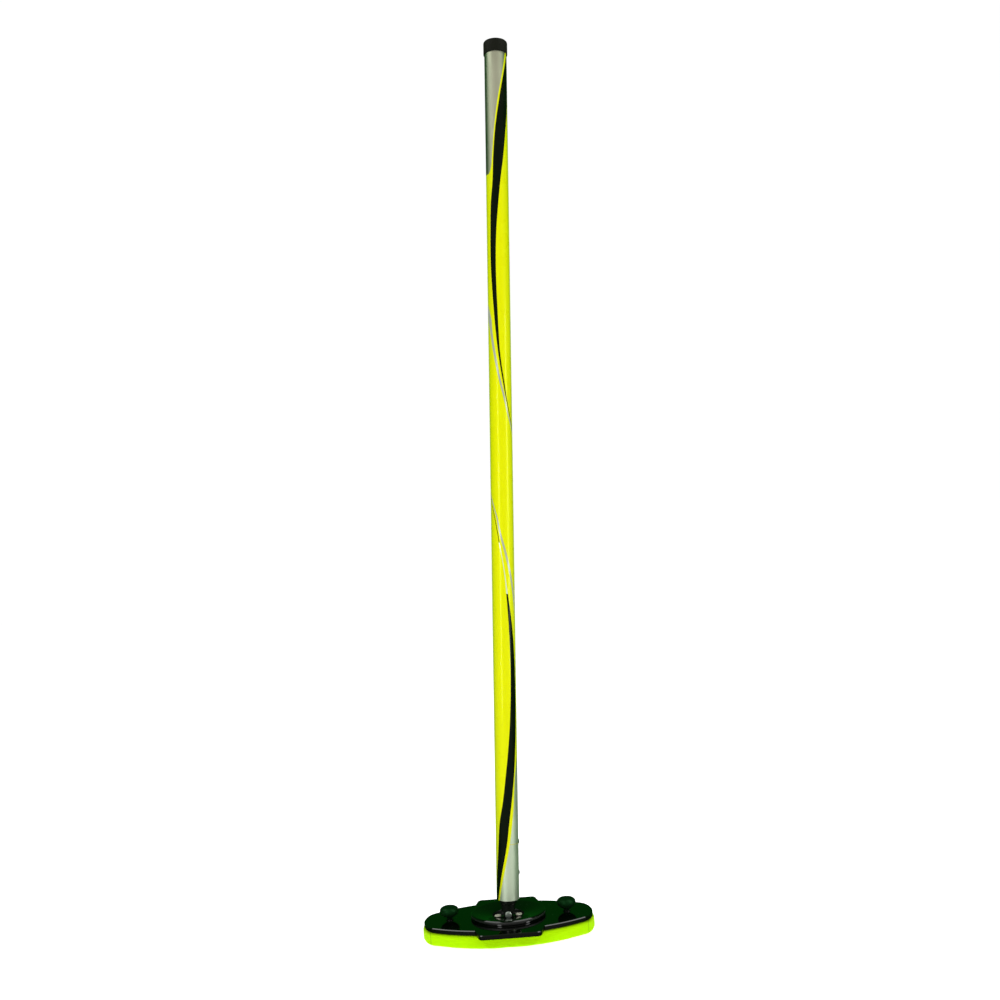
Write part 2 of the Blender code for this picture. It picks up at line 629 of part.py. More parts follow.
def build_knob(side, axis):
    """Heights are above the head plate's top."""
    stud_hole = STUD_RADIUS + BORE_CLEARANCE
    washer_bottom = GAP / 2
    washer_top = washer_bottom + KNOB_WASHER_THICKNESS
    washer = [
        (STUD_RADIUS + GAP, washer_top),
        (KNOB_WASHER_RADIUS, washer_top),
        (KNOB_WASHER_RADIUS, washer_bottom),
        (STUD_RADIUS + GAP, washer_bottom),
    ]
    turned(f"knob_washer_{side}", washer, "hub_plastic", SMALL_STEPS, closed=True, parent=axis)

    stem_bottom = washer_top + GAP / 2
    stud_top = STUD_TOP - PLATE_TOP
    crown = KNOB_HEIGHT - KNOB_RIM_HEIGHT
    profile = [(0.0, KNOB_HEIGHT)]
    for i in range(1, KNOB_DOME_STEPS + 1):
        a = math.pi / 2 * i / KNOB_DOME_STEPS
        profile.append((KNOB_RADIUS * math.sin(a) ** 0.8, KNOB_RIM_HEIGHT + crown * math.cos(a) ** 0.9))
    profile += [(radius * MM, height * MM) for radius, height in KNOB_UNDERSIDE_MM]
    profile += [
        (KNOB_STEM_RADIUS, stem_bottom),
        (stud_hole, stem_bottom),
        (stud_hole, stud_top + GAP),
        (0.0, stud_top + GAP),
    ]
    turned(f"clamp_knob_{side}", profile, "knob_plastic", KNOB_STEPS, parent=axis)

    stud_bottom = STUD_BOTTOM - PLATE_TOP
    stud = [
        (0.0, stud_top),
        (STUD_RADIUS, stud_top),
        (STUD_RADIUS, stud_bottom + STUD_TIP_CHAMFER),
        (STUD_RADIUS - STUD_TIP_CHAMFER, stud_bottom),
        (0.0, stud_bottom),
    ]
    turned(f"knob_stud_{side}", stud, "steel", SMALL_STEPS, parent=axis)


build_pad()
build_plate()
swivel_axis = axis_empty("swivel_axis", (0, 0, PLATE_TOP))
build_turntable(swivel_axis)
tilt_axis = axis_empty("tilt_axis", (0, 0, PIVOT_Z - PLATE_TOP), (0, SHAFT_LEAN, 0), swivel_axis)
build_shaft(tilt_axis, build_hub(tilt_axis))
for knob_side, knob_x in (("left", -KNOB_X), ("right", KNOB_X)):
    build_knob(knob_side, axis_empty(f"knob_axis_{knob_side}", (knob_x, 0, PLATE_TOP)))
bpy.context.view_layer.update()
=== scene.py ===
"""Looks of the curling brush: a neon cloth pad, a gloss black head and a lacquered shaft.
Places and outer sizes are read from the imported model, and finer sizes are named here. Metres;
heights on turned pieces run along the piece's own axis."""

import json
import math

import bmesh
import bpy
from mathutils import Matrix, Vector


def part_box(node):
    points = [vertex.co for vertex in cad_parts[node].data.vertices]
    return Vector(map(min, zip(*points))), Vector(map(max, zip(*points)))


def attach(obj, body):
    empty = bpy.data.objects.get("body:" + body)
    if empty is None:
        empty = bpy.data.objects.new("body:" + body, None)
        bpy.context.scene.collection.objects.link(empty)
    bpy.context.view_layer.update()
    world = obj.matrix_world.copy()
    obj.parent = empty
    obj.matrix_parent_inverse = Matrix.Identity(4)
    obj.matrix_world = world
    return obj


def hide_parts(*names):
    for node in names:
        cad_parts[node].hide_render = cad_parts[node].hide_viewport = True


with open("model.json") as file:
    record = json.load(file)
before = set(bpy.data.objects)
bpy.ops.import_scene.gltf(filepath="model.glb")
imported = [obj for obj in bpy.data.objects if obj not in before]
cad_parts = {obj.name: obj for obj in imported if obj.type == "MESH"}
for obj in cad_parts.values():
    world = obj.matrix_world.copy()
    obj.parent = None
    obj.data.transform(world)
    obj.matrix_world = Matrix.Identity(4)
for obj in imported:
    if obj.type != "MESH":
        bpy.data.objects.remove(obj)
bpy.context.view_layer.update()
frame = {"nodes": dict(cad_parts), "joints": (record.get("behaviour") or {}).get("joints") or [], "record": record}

MM = 0.001
TURN = 2 * math.pi
FLOOR_GAP = 0.02 * MM

NODES = frame["nodes"]
BODY_OF = {node: body for body, nodes in frame["record"]["behaviour"]["bodies"].items() for node in nodes}
SLOT_OF = {part["node"]: part["material_slot"] for part in frame["record"]["subparts"]}
JOINT = {joint["name"]: joint for joint in frame["joints"]}

PLATE_CENTRE = Vector(JOINT["head_swivel"]["pos_m"])
PIVOT = Vector(JOINT["shaft_tilt"]["pos_m"])
CAP_CENTRE = sum(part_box("end_cap"), Vector()) / 2
LEAN = math.atan2(CAP_CENTRE.x - PIVOT.x, CAP_CENTRE.z - PIVOT.z)

PLATE_FRAME = Matrix.Translation(PLATE_CENTRE)
SHAFT_FRAME = Matrix.Translation(PIVOT) @ Matrix.Rotation(LEAN, 4, "Y")
LYING = Matrix.Rotation(math.pi / 2, 4, "X")
TO_PLUS_X = Matrix.Rotation(math.pi / 2, 4, "Y")


def reach(node, placing):
    """A node's lowest and highest point along a placing's Z axis, and its radius about that axis."""
    inverse = placing.inverted()
    points = [inverse @ v.co for v in NODES[node].data.vertices]
    heights = [p.z for p in points]
    return min(heights), max(heights), max(math.hypot(p.x, p.y) for p in points)


# ------------------------------------------------------------------ node helpers


class Graph:
    """A material's node tree, with short calls for the nodes that the looks below use."""

    def __init__(self, name):
        self.material = bpy.data.materials.new(name)
        self.material.use_nodes = True
        self.tree = self.material.node_tree
        self.shader = self.tree.nodes["Principled BSDF"]
        self.place = self.add("ShaderNodeTexCoord").outputs["Object"]

    def add(self, kind, **settings):
        node = self.tree.nodes.new(kind)
        for key, value in settings.items():
            setattr(node, key, value)
        return node

    def feed(self, socket, value):
        """Sets a socket to a number or colour, or links it to another node's output."""
        if isinstance(value, bpy.types.NodeSocket):
            self.tree.links.new(value, socket)
        else:
            socket.default_value = value

    def coordinates(self):
        """The place on the piece, as three numbers."""
        parts = self.add("ShaderNodeSeparateXYZ")
        self.feed(parts.inputs[0], self.place)
        return parts.outputs

    def math(self, operation, *values):
        node = self.add("ShaderNodeMath", operation=operation)
        for socket, value in zip(node.inputs, values):
            self.feed(socket, value)
        return node.outputs[0]

    def noise(self, scale, detail=2.0, stretch=(1, 1, 1)):
        mapping = self.add("ShaderNodeMapping")
        self.feed(mapping.inputs["Vector"], self.place)
        mapping.inputs["Scale"].default_value = stretch
        node = self.add("ShaderNodeTexNoise")
        self.feed(node.inputs["Vector"], mapping.outputs[0])
        node.inputs["Scale"].default_value = scale
        node.inputs["Detail"].default_value = detail
        return node.outputs["Fac"]

    def ramp(self, value, low, high, start=0.35, end=0.65):
        """Runs a number from low to high while value goes from start to end."""
        node = self.add("ShaderNodeMapRange")
        for socket, number in zip(node.inputs, (value, start, end, low, high)):
            self.feed(socket, number)
        return node.outputs[0]

    def mix(self, factor, first, second):
        node = self.add("ShaderNodeMix", data_type="RGBA")
        self.feed(node.inputs["Factor"], factor)
        for socket, value in zip((node.inputs[6], node.inputs[7]), (first, second)):
            self.feed(socket, value if isinstance(value, bpy.types.NodeSocket) else (*value, 1.0))
        return node.outputs[2]

    def bump(self, height, distance, strength=1.0):
        node = self.add("ShaderNodeBump")
        node.inputs["Distance"].default_value = distance
        node.inputs["Strength"].default_value = strength
        self.feed(node.inputs["Height"], height)
        self.feed(self.shader.inputs["Normal"], node.outputs[0])

    def set(self, **values):
        """Sets the shader's inputs, such as Base_Color, where _ stands for a space."""
        for name, value in values.items():
            if isinstance(value, tuple):
                value = (*value, 1.0)
            self.feed(self.shader.inputs[name.replace("_", " ")], value)


# ---------------------------------------------------------------------- materials


def moulded(name, dark, light, low, high, grain=0.02 * MM, scale=900, **settings):
    """Moulded plastic or rubber: faint colour drift, uneven gloss and a fine grain."""
    graph = Graph(name)
    drift = graph.noise(35)
    graph.set(Base_Color=graph.mix(drift, dark, light), **settings)
    graph.set(Roughness=graph.ramp(graph.noise(60, 4), low, high))
    graph.bump(graph.noise(scale), grain)
    return graph.material


def polished(name, dark, light, low, high, specular):
    """Smooth plastic without a grain, with its own strength of reflection."""
    return moulded(name, dark, light, low, high, grain=0.0, Specular_IOR_Level=specular)


def metal(name, colour, shade, low, high):
    """Machined metal: tool marks along one direction, in the colour and in the gloss."""
    graph = Graph(name)
    marks = graph.noise(700, 3, (1, 1, 12))
    graph.set(Base_Color=graph.mix(marks, colour, shade), Metallic=1.0)
    graph.set(Roughness=graph.ramp(marks, low, high))
    graph.bump(marks, 0.01 * MM)
    return graph.material


THREAD_PITCH = 0.55 * MM
THREAD_DIRECTIONS = ((1, 1, 0), (0.5, -0.5, 1))
CLOTH_TINTS = ((0.46, 0.90, 0.0), (0.51, 0.95, 0.0))
# Painted shade: the colour of the hollows between the threads.
CLOTH_SHADE_BETWEEN_THREADS = (0.40, 0.82, 0.0)
CLOTH_SEAM = (0.30, 0.66, 0.0)
SEAM_X = 98.5 * MM
SEAM_CORE, SEAM_HALF_WIDTH = 0.1 * MM, 0.9 * MM


def woven_cloth(name):
    """Tight plain weave with a sewn seam across each end.

    Two sets of threads cross on the sides and on the underside alike.
    """
    graph = Graph(name)
    waves = []
    for direction in THREAD_DIRECTIONS:
        node = graph.add("ShaderNodeVectorMath", operation="DOT_PRODUCT")
        graph.feed(node.inputs[0], graph.place)
        node.inputs[1].default_value = [part * TURN / THREAD_PITCH for part in direction]
        waves.append(graph.math("SINE", node.outputs["Value"]))
    weave = graph.math("MULTIPLY", *waves)
    slub = graph.noise(240, 4)
    thread_height = graph.math("ADD", weave, graph.math("MULTIPLY", slub, 1.2))
    tint = graph.mix(graph.noise(18, 3), *CLOTH_TINTS)
    # Painted shade: the weave's hollows between the threads are coloured darker.
    shade = graph.mix(graph.ramp(weave, 0.16, 0.0, -1, -0.2), tint, CLOTH_SHADE_BETWEEN_THREADS)
    x, _, _ = graph.coordinates()
    from_seam = graph.math("SUBTRACT", graph.math("ABSOLUTE", x), SEAM_X)
    seam = graph.ramp(graph.math("ABSOLUTE", from_seam), 1.0, 0.0, SEAM_CORE, SEAM_HALF_WIDTH)
    graph.set(Base_Color=graph.mix(graph.math("MULTIPLY", seam, 0.8), shade, CLOTH_SEAM))
    graph.set(Roughness=graph.ramp(slub, 0.75, 0.95), Specular_IOR_Level=0.02)
    graph.set(Sheen_Weight=0.02, Sheen_Roughness=0.5)
    graph.bump(graph.math("SUBTRACT", thread_height, graph.math("MULTIPLY", seam, 6.0)), 0.08 * MM)
    return graph.material


YELLOWS = ((0.80, 0.83, 0.0), (0.77, 0.81, 0.0))
# Painted shade: the yellow's colour at the shaft's outline, where the cylinder turns away.
YELLOW_EDGE_PAINTED_SHADE = (0.42, 0.57, 0.0)
PAINT_BLACK = (0.0015, 0.004, 0.001)
SILVER_FLAKES = ((0.64, 0.75, 0.56), (0.72, 0.83, 0.64))
WARM_SILVER = (0.50, 0.50, 0.37)
# Painted shade: the upper silver's dark green at the shaft's outline.
SILVER_EDGE_PAINTED_SHADE = (0.06, 0.13, 0.05)
LINE_SILVER = (0.42, 0.46, 0.38)
SEAM_YELLOW = (0.75, 0.74, 0.25)
YELLOW_SHINE = (0.7, 1.0, 0.05)
SILVER_SHINE = (0.8, 1.0, 0.8)
BLACK_SHINE = (0.04, 0.09, 0.03)

# The shaft's pattern. Heights are in mm above the tilt pivot. Each row of a band is a height, the
# band's left edge in degrees and its width in degrees, and a smooth curve joins the rows. Angle 0
# faces -Y and 90 faces +X. The black band and the silver line both wind once round the back.
# Most rows started as a calculation's output: edges read off the photograph, turned into
# heights and angles with the fitted camera. They were then adjusted.
BLACK_BAND = (
    (18, 268, 33), (48, 290, 35), (85, 308, 47), (112, 317, 52), (143, 340, 46), (177, 357, 46),
    (206, 370, 44), (247, 383, 42), (303, 390, 34), (337, 388, 28), (371, 382, 19), (402, 374, 9),
    (431, 364, 4), (467, 341, 4), (495, 321, 4), (521, 292, 4), (570, 184, 4), (619, 66, 5),
    (644, 36, 5), (671, 15, 7), (713, -10, 10), (740, -21, 15), (770, -31, 21), (791, -37, 24),
    (830, -45, 30), (869, -44, 34), (907, -38, 41), (933, -27, 41), (968, -20, 54), (1000, -9, 60),
    (1032, 9, 64), (1061, 30, 66), (1096, 65, 62), (1116, 88, 60),
)
SILVER_LINE = (
    (376, 428, 0), (399, 416, 11), (423, 397, 12), (452, 372, 11), (486, 338, 9), (503, 326, 7),
    (567, 186, 7), (630, 39, 7), (654, 15, 9), (684, -14, 10), (703, -29, 12), (730, -49, 14),
    (743, -59, 17), (760, -79, 29), (780, -98, 0),
)
UPPER_SILVER = (
    (940, -96, 0), (953, -110, 77), (968, -116, 89), (1000, -128, 113), (1032, -140, 141),
    (1061, -150, 172), (1077, -155, 190), (1096, -162, 213), (1116, -170, 240),
)
LOWER_SILVER = (
    (18, -48, 222), (31, -37, 205), (48, -22, 184), (68, -5, 160), (85, 9, 141), (108, 23, 118),
    (136, 37, 92), (157, 43, 72), (179, 53, 48), (205, 90, 0),
)
SILVERED_BLACK = (405, 470)
PAINT_SEAM = (88.4, 89.6)


class ShaftPattern(Graph):
    """The lacquered shaft. Bands are found from the height along the shaft and the angle round it."""

    ANGLE_SPAN = 1000.0  # a curve node holds 0 to 1, which stands for -500 to 500 degrees

    def __init__(self, name, low, high):
        super().__init__(name)
        self.low, self.high = low / MM, high / MM
        x, y, z = self.coordinates()
        self.height = self.math("DIVIDE", z, MM)
        self.angle = self.math("DEGREES", self.math("ARCTAN2", x, self.math("MULTIPLY", y, -1.0)))
        self.along = self.ramp(self.height, 0.0, 1.0, self.low, self.high)

    def curve(self, points):
        """A smooth curve over the height, through (height in mm, degrees) points."""
        node = self.add("ShaderNodeFloatCurve")
        self.feed(node.inputs["Value"], self.along)
        line = node.mapping.curves[0]
        placed = [
            ((height - self.low) / (self.high - self.low), degrees / self.ANGLE_SPAN + 0.5)
            for height, degrees in points
        ]
        placed = [(min(max(along, 0.0), 1.0), turn) for along, turn in placed]
        line.points[0].location, line.points[-1].location = placed[0], placed[-1]
        for spot in placed[1:-1]:
            line.points.new(*spot)
        node.mapping.update()
        return self.math("MULTIPLY", self.math("SUBTRACT", node.outputs[0], 0.5), self.ANGLE_SPAN)

    def band(self, rows):
        """1 inside a band given by its left edge and width over the height, 0 outside."""
        left = self.curve([(height, edge) for height, edge, _ in rows])
        width = self.curve([(height, span) for height, _, span in rows])
        turned_by = self.math("FLOORED_MODULO", self.math("SUBTRACT", self.angle, left), 360.0)
        within = self.math("LESS_THAN", turned_by, width)
        return self.math("MULTIPLY", within, self.between(rows[0][0], rows[-1][0]))

    def between(self, low, high):
        """1 between two heights, 0 elsewhere."""
        over = self.math("GREATER_THAN", self.height, low)
        return self.math("MULTIPLY", over, self.math("LESS_THAN", self.height, high))


def shaft_paint(name, low, high):
    """Yellow lacquer with silver fields and lines, a black band and a thin seam across the silver. The yellow and
    the upper silver carry painted shade that darkens them towards the outline.
    """
    graph = ShaftPattern(name, low, high)
    black = graph.band(BLACK_BAND)
    line = graph.band(SILVER_LINE)
    upper_field = graph.band(UPPER_SILVER)
    fields = graph.math("MAXIMUM", upper_field, graph.band(LOWER_SILVER))
    silvered = graph.math("MULTIPLY", black, graph.between(*SILVERED_BLACK))
    silver = graph.math("MAXIMUM", graph.math("MAXIMUM", line, fields), silvered)
    black = graph.math("SUBTRACT", black, silvered)

    facing = graph.add("ShaderNodeLayerWeight").outputs["Facing"]
    yellow = graph.mix(graph.noise(9, 3), *YELLOWS)
    # Painted shade: the yellow darkens towards the shaft's outline as seen, by the facing weight.
    yellow = graph.mix(graph.ramp(facing, 0.0, 1.0, 0.1, 0.8), yellow, YELLOW_EDGE_PAINTED_SHADE)
    flakes = graph.mix(graph.ramp(graph.noise(2600, 2), 0.0, 1.0, 0.4, 0.6), *SILVER_FLAKES)
    # Painted shade: the upper silver darkens to green towards the outline, by the facing weight.
    upper_silver = graph.mix(graph.ramp(facing, 0.0, 1.0, 0.08, 0.6), WARM_SILVER, SILVER_EDGE_PAINTED_SHADE)
    flakes = graph.mix(upper_field, flakes, upper_silver)
    flakes = graph.mix(line, flakes, LINE_SILVER)
    colour = graph.mix(silver, yellow, flakes)
    seam = graph.math("MULTIPLY", fields, graph.between(*PAINT_SEAM))
    colour = graph.mix(seam, colour, SEAM_YELLOW)
    graph.set(Base_Color=graph.mix(black, colour, PAINT_BLACK))

    metal_part = graph.math("MULTIPLY", graph.math("SUBTRACT", silver, black), 0.2)
    metal_part = graph.math("ADD", metal_part, graph.math("MULTIPLY", fields, 0.65))
    gloss = graph.ramp(graph.noise(50, 3), 0.26, 0.34)
    gloss = graph.math("ADD", gloss, graph.math("MULTIPLY", metal_part, 0.15))
    shine = graph.mix(black, graph.mix(silver, YELLOW_SHINE, SILVER_SHINE), BLACK_SHINE)
    graph.set(Metallic=metal_part, Roughness=gloss, Specular_Tint=shine, Specular_IOR_Level=0.4)
    graph.set(Coat_Weight=0.12, Coat_Roughness=0.08)
    graph.bump(graph.noise(400, 1), 0.004 * MM)
    return graph.material


TUBE_LOW, TUBE_HIGH, TUBE_RADIUS = reach("shaft_tube", SHAFT_FRAME)

LOOKS = {
    "pad_fabric": woven_cloth("neon_weave"),
    "pad_foam": moulded("cream_foam", (0.55, 0.53, 0.44), (0.66, 0.64, 0.55), 0.85, 1.0, 0.2 * MM, 500),
    "board_plastic": moulded("matt_board", (0.04, 0.04, 0.04), (0.06, 0.06, 0.06), 0.5, 0.7),
    "head_gloss": polished("gloss_black", (0.0006, 0.001, 0.0006), (0.001, 0.002, 0.001), 0.03, 0.07, 0.36),
    # Painted shade: a copy of the gloss black with weaker reflection, for the plate's side faces to darken them.
    "head_side_shaded_copy": polished("gloss_black_shaded_sides", (0.001, 0.002, 0.001), (0.002, 0.003, 0.001), 0.2, 0.3, 0.1),
    # Painted highlight: a lighter copy of the gloss black with stronger reflection, for the chamfer so that its
    # highlight reads brighter.
    "head_bevel_lit_copy": polished("gloss_black_lit_bevel", (0.002, 0.003, 0.002), (0.003, 0.004, 0.003), 0.08, 0.14, 0.75),
    "disc_gloss": polished("disc_black", (0.0008, 0.002, 0.001), (0.002, 0.003, 0.002), 0.05, 0.1, 0.5),
    # A rougher copy of the disc black for its side faces: part satin finish, part painted sheen, with a lighter
    # colour and stronger reflection.
    "disc_side_lit_copy": polished("disc_black_sheen_sides", (0.001, 0.003, 0.001), (0.002, 0.004, 0.002), 0.5, 0.6, 0.8),
    "hub_plastic": moulded(
        "hub_black", (0.004, 0.008, 0.004), (0.006, 0.010, 0.005), 0.2, 0.3, Specular_IOR_Level=0.25
    ),
    "knob_plastic": moulded(
        "knob_black", (0.002, 0.018, 0.003), (0.002, 0.021, 0.004), 0.32, 0.45,
        Specular_IOR_Level=0.15, Specular_Tint=(0.2, 1.0, 0.3),
    ),
    "slide_plastic": moulded("natural_nylon", (0.5, 0.5, 0.46), (0.6, 0.6, 0.56), 0.4, 0.55),
    "steel": metal("bright_steel", (0.62, 0.64, 0.6), (0.48, 0.5, 0.47), 0.2, 0.35),
    "pin_steel": metal("pin_steel", (0.34, 0.38, 0.34), (0.26, 0.3, 0.26), 0.42, 0.55),
    # Pale zinc screws given a light cream colour without metal reflection: part their pale plating, part a painted
    # glint on the heads.
    "pale_screw_painted_glint": moulded("pale_screw_painted_glint", (0.66, 0.66, 0.5), (0.78, 0.78, 0.62), 0.35, 0.5),
    "brass": metal("turned_brass", (0.78, 0.57, 0.22), (0.66, 0.47, 0.18), 0.25, 0.4),
    "shaft_paint": shaft_paint("shaft_lacquer", TUBE_LOW, TUBE_HIGH),
    "cap_rubber": moulded(
        "cap_rubber", (0.006, 0.007, 0.004), (0.010, 0.011, 0.007), 0.5, 0.65, 0.05 * MM, 700,
        Specular_IOR_Level=0.06,
    ),
}


# ------------------------------------------------------------------- mesh helpers


def new_piece(name, bm, placing=Matrix.Identity(4), smooth=35.0):
    mesh = bpy.data.meshes.new(name)
    bmesh.ops.recalc_face_normals(bm, faces=bm.faces)
    bm.to_mesh(mesh)
    bm.free()
    mesh.shade_smooth()
    mesh.set_sharp_from_angle(angle=math.radians(smooth))
    piece = bpy.data.objects.new(name, mesh)
    piece.matrix_world = placing
    bpy.context.scene.collection.objects.link(piece)
    return piece


def stands_for(piece, *nodes, look=None):
    """Rides with the nodes' body, hides them, and takes their slot and its look or a given one."""
    slot = SLOT_OF[nodes[0]]
    piece.data.materials.clear()
    piece.data.materials.append(LOOKS[look or slot])
    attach(piece, BODY_OF[nodes[0]])
    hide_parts(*nodes)
    return piece


def rounded(corners, steps=5):
    """A profile of (radius, height, rounding) corners, with an arc at each rounded one."""
    points = []
    for i, (x, z, fillet) in enumerate(corners):
        here = Vector((x, z))
        if not fillet:
            points.append(here)
            continue
        before = (Vector(corners[i - 1][:2]) - here).normalized()
        after = (Vector(corners[(i + 1) % len(corners)][:2]) - here).normalized()
        half = before.angle(after) / 2
        centre = here + (before + after).normalized() * (fillet / math.sin(half))
        start = here + before * (fillet / math.tan(half)) - centre
        end = here + after * (fillet / math.tan(half)) - centre
        sweep = math.atan2(start.x * end.y - start.y * end.x, start.dot(end))
        for k in range(steps + 1):
            angle = sweep * k / steps
            cos, sin = math.cos(angle), math.sin(angle)
            points.append(centre + Vector((start.x * cos - start.y * sin, start.x * sin + start.y * cos)))
    return points


def turned(name, profile, placing, steps=96, closed=False, smooth=35.0):
    """A profile of (radius, height) points turned about the placing's Z axis."""
    bm = bmesh.new()
    verts = [bm.verts.new((x, 0.0, z)) for x, z in profile]
    edges = [bm.edges.new(pair) for pair in zip(verts, verts[1:])]
    if closed:
        edges.append(bm.edges.new((verts[-1], verts[0])))
    bmesh.ops.spin(bm, geom=verts + edges, cent=(0, 0, 0), axis=(0, 0, 1), angle=TURN, steps=steps)
    bmesh.ops.remove_doubles(bm, verts=bm.verts, dist=0.001 * MM)
    return new_piece(name, bm, placing, smooth)


def prism(name, outline, low, high, placing=Matrix.Identity(4)):
    """A flat outline of (x, y) points between two heights."""
    bm = bmesh.new()
    face = bm.faces.new([bm.verts.new((x, y, low)) for x, y in outline])
    grown = bmesh.ops.extrude_face_region(bm, geom=[face])["geom"]
    top = [item for item in grown if isinstance(item, bmesh.types.BMVert)]
    bmesh.ops.translate(bm, verts=top, vec=(0, 0, high - low))
    return new_piece(name, bm, placing)


def apply_modifiers(piece):
    """Bakes a piece's modifiers into its mesh."""
    bpy.context.view_layer.update()
    graph = bpy.context.evaluated_depsgraph_get()
    mesh = bpy.data.meshes.new_from_object(piece.evaluated_get(graph), depsgraph=graph)
    piece.modifiers.clear()
    piece.data = mesh


def shape_with(piece, operation, tool):
    """Cuts or joins a piece with a tool, which is used up."""
    step = piece.modifiers.new(operation, "BOOLEAN")
    step.operation, step.solver, step.object = operation, "EXACT", tool
    apply_modifiers(piece)
    bpy.data.objects.remove(tool)


def soften(piece, width, segments=3, angle=40.0):
    """Rounds a piece's hard edges and keeps its flat faces flat."""
    bevel = piece.modifiers.new("rounding", "BEVEL")
    bevel.width, bevel.segments = width, segments
    bevel.limit_method, bevel.angle_limit = "ANGLE", math.radians(angle)
    bevel.harden_normals = True
    apply_modifiers(piece)


def flatten(piece):
    """Keeps a cut piece's flat faces flat to the eye, with the shading turn left to its edges."""
    weighting = piece.modifiers.new("flat_faces", "WEIGHTED_NORMAL")
    weighting.weight, weighting.keep_sharp = 100, True
    apply_modifiers(piece)


def arc(centre, radius, start, end, count):
    """Points along an arc, both ends included. Angles in radians."""
    angles = [start + (end - start) * i / (count - 1) for i in range(count)]
    return [(centre[0] + radius * math.cos(a), centre[1] + radius * math.sin(a)) for a in angles]


def cylinder(name, radius, low, high, placing, steps=64):
    return turned(name, [(0, high), (radius, high), (radius, low), (0, low)], placing, steps)


THROUGH = 99 * MM


def drill(piece, radius, placing, low=-THROUGH, high=THROUGH, steps=48):
    """Cuts a round hole along the placing's Z axis, right through unless told otherwise."""
    shape_with(piece, "DIFFERENCE", cylinder("drill", radius, low, high, placing, steps))


def box_outline(half_width, half_depth):
    """The four corners of a rectangle about the origin."""
    upper = [(half_width, half_depth), (-half_width, half_depth)]
    return [(-x, -y) for x, y in upper] + upper


# ----------------------------------------------------------------------------- head

PAD_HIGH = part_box("pad_cover")[1]
PLATE_LOW, PLATE_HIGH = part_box("head_plate")
HEAD_HALF_LENGTH = PLATE_HIGH.x
TAB_HALF_DEPTH = PLATE_HIGH.y
PAD_OVERHANG = PAD_HIGH.x - PLATE_HIGH.x
HEAD_HALF_DEPTH = PAD_HIGH.y - PAD_OVERHANG
SIDE_RADIUS, CORNER_RADIUS, END_RADIUS = 170 * MM, 22 * MM, 57 * MM
TAB_HALF_WIDTH, TAB_ROOT_HALF_WIDTH, TAB_CORNER = 38.8 * MM, 42.2 * MM, 6 * MM
PLATE_EDGE = 0.9 * MM
PLATE_BORE, RETAINER_POCKET, STUD_HOLE = 22.3 * MM, 28.2 * MM, 2.8 * MM
POCKET_DEPTH = 2 * MM
SAME_POINT = 0.01 * MM


def head_quarter(offset=0.0, from_x=0.0):
    """First-quadrant head outline grown by an offset: end arc, corner arc and side arc.

    The corner arc touches the other two. The side arc stops at from_x.
    """
    end = Vector((HEAD_HALF_LENGTH - END_RADIUS, 0))
    side = Vector((0, HEAD_HALF_DEPTH - SIDE_RADIUS))
    near, far = END_RADIUS - CORNER_RADIUS, SIDE_RADIUS - CORNER_RADIUS
    across = side - end
    along = (near**2 - far**2 + across.length_squared) / (2 * across.length)
    unit = across.normalized()
    corner = end + unit * along + Vector((-unit.y, unit.x)) * math.sqrt(near**2 - along**2)
    first = math.atan2(corner.y - end.y, corner.x - end.x)
    second = math.atan2(corner.y - side.y, corner.x - side.x)
    last = math.acos(from_x / (SIDE_RADIUS + offset))
    points = arc(end, END_RADIUS + offset, 0.0, first, 24)
    points += arc(corner, CORNER_RADIUS + offset, first, second, 16)[1:]
    return points + arc(side, SIDE_RADIUS + offset, second, last, 32)[1:]


def whole_outline(quarter):
    """All four quadrants, anticlockwise, from first-quadrant points in order from +X to +Y."""
    upper = quarter + [(-x, y) for x, y in reversed(quarter)]
    points = []
    for x, y in upper + [(-x, -y) for x, y in upper]:
        if not points or math.dist((x, y), points[-1]) > SAME_POINT:
            points.append((x, y))
    return points[:-1] if math.dist(points[0], points[-1]) < SAME_POINT else points


def look_by_slope(piece, look, low, high):
    """Gives another look to the faces whose normals have a Z part between low and high."""
    piece.data.materials.append(LOOKS[look])
    for face in piece.data.polygons:
        if low <= face.normal.z < high:
            face.material_index = len(piece.data.materials) - 1


def build_plate():
    tab = (TAB_HALF_WIDTH - TAB_CORNER, TAB_HALF_DEPTH - TAB_CORNER)
    quarter = head_quarter(from_x=TAB_ROOT_HALF_WIDTH) + arc(tab, TAB_CORNER, 0.0, math.pi / 2, 10)
    plate = prism("gloss_plate", whole_outline(quarter), PLATE_LOW.z, PLATE_HIGH.z)
    soften(plate, PLATE_EDGE, 1)
    drill(plate, PLATE_BORE, Matrix.Identity(4), steps=64)
    drill(plate, RETAINER_POCKET, Matrix.Identity(4), high=PLATE_LOW.z + POCKET_DEPTH, steps=64)
    for side in ("left", "right"):
        drill(plate, STUD_HOLE, Matrix.Translation(JOINT[f"knob_turn_{side}"]["pos_m"]), steps=32)
    flatten(plate)
    stands_for(plate, "head_plate")
    # Painted shade: the side faces take the darker copy of the gloss black.
    look_by_slope(plate, "head_side_shaded_copy", -0.3, 0.3)
    # Painted highlight: the chamfer faces take the lit copy of the gloss black.
    look_by_slope(plate, "head_bevel_lit_copy", 0.3, 0.95)


DISH_RADIUS, DISH_FLOOR, DISH_LIP = 20.2 * MM, -2.6 * MM, 1.8 * MM
DISC_BEVEL = 1.3 * MM
GROOVE_BELOW_TOP, GROOVE_DEPTH, GROOVE_HALF = 3.3 * MM, 0.4 * MM, 0.2 * MM
DISC_HUB_RADIUS, RACE_BORE, RING_BORE = 21.9 * MM, 36.4 * MM, 37.0 * MM
DISC_GAP = 0.3 * MM


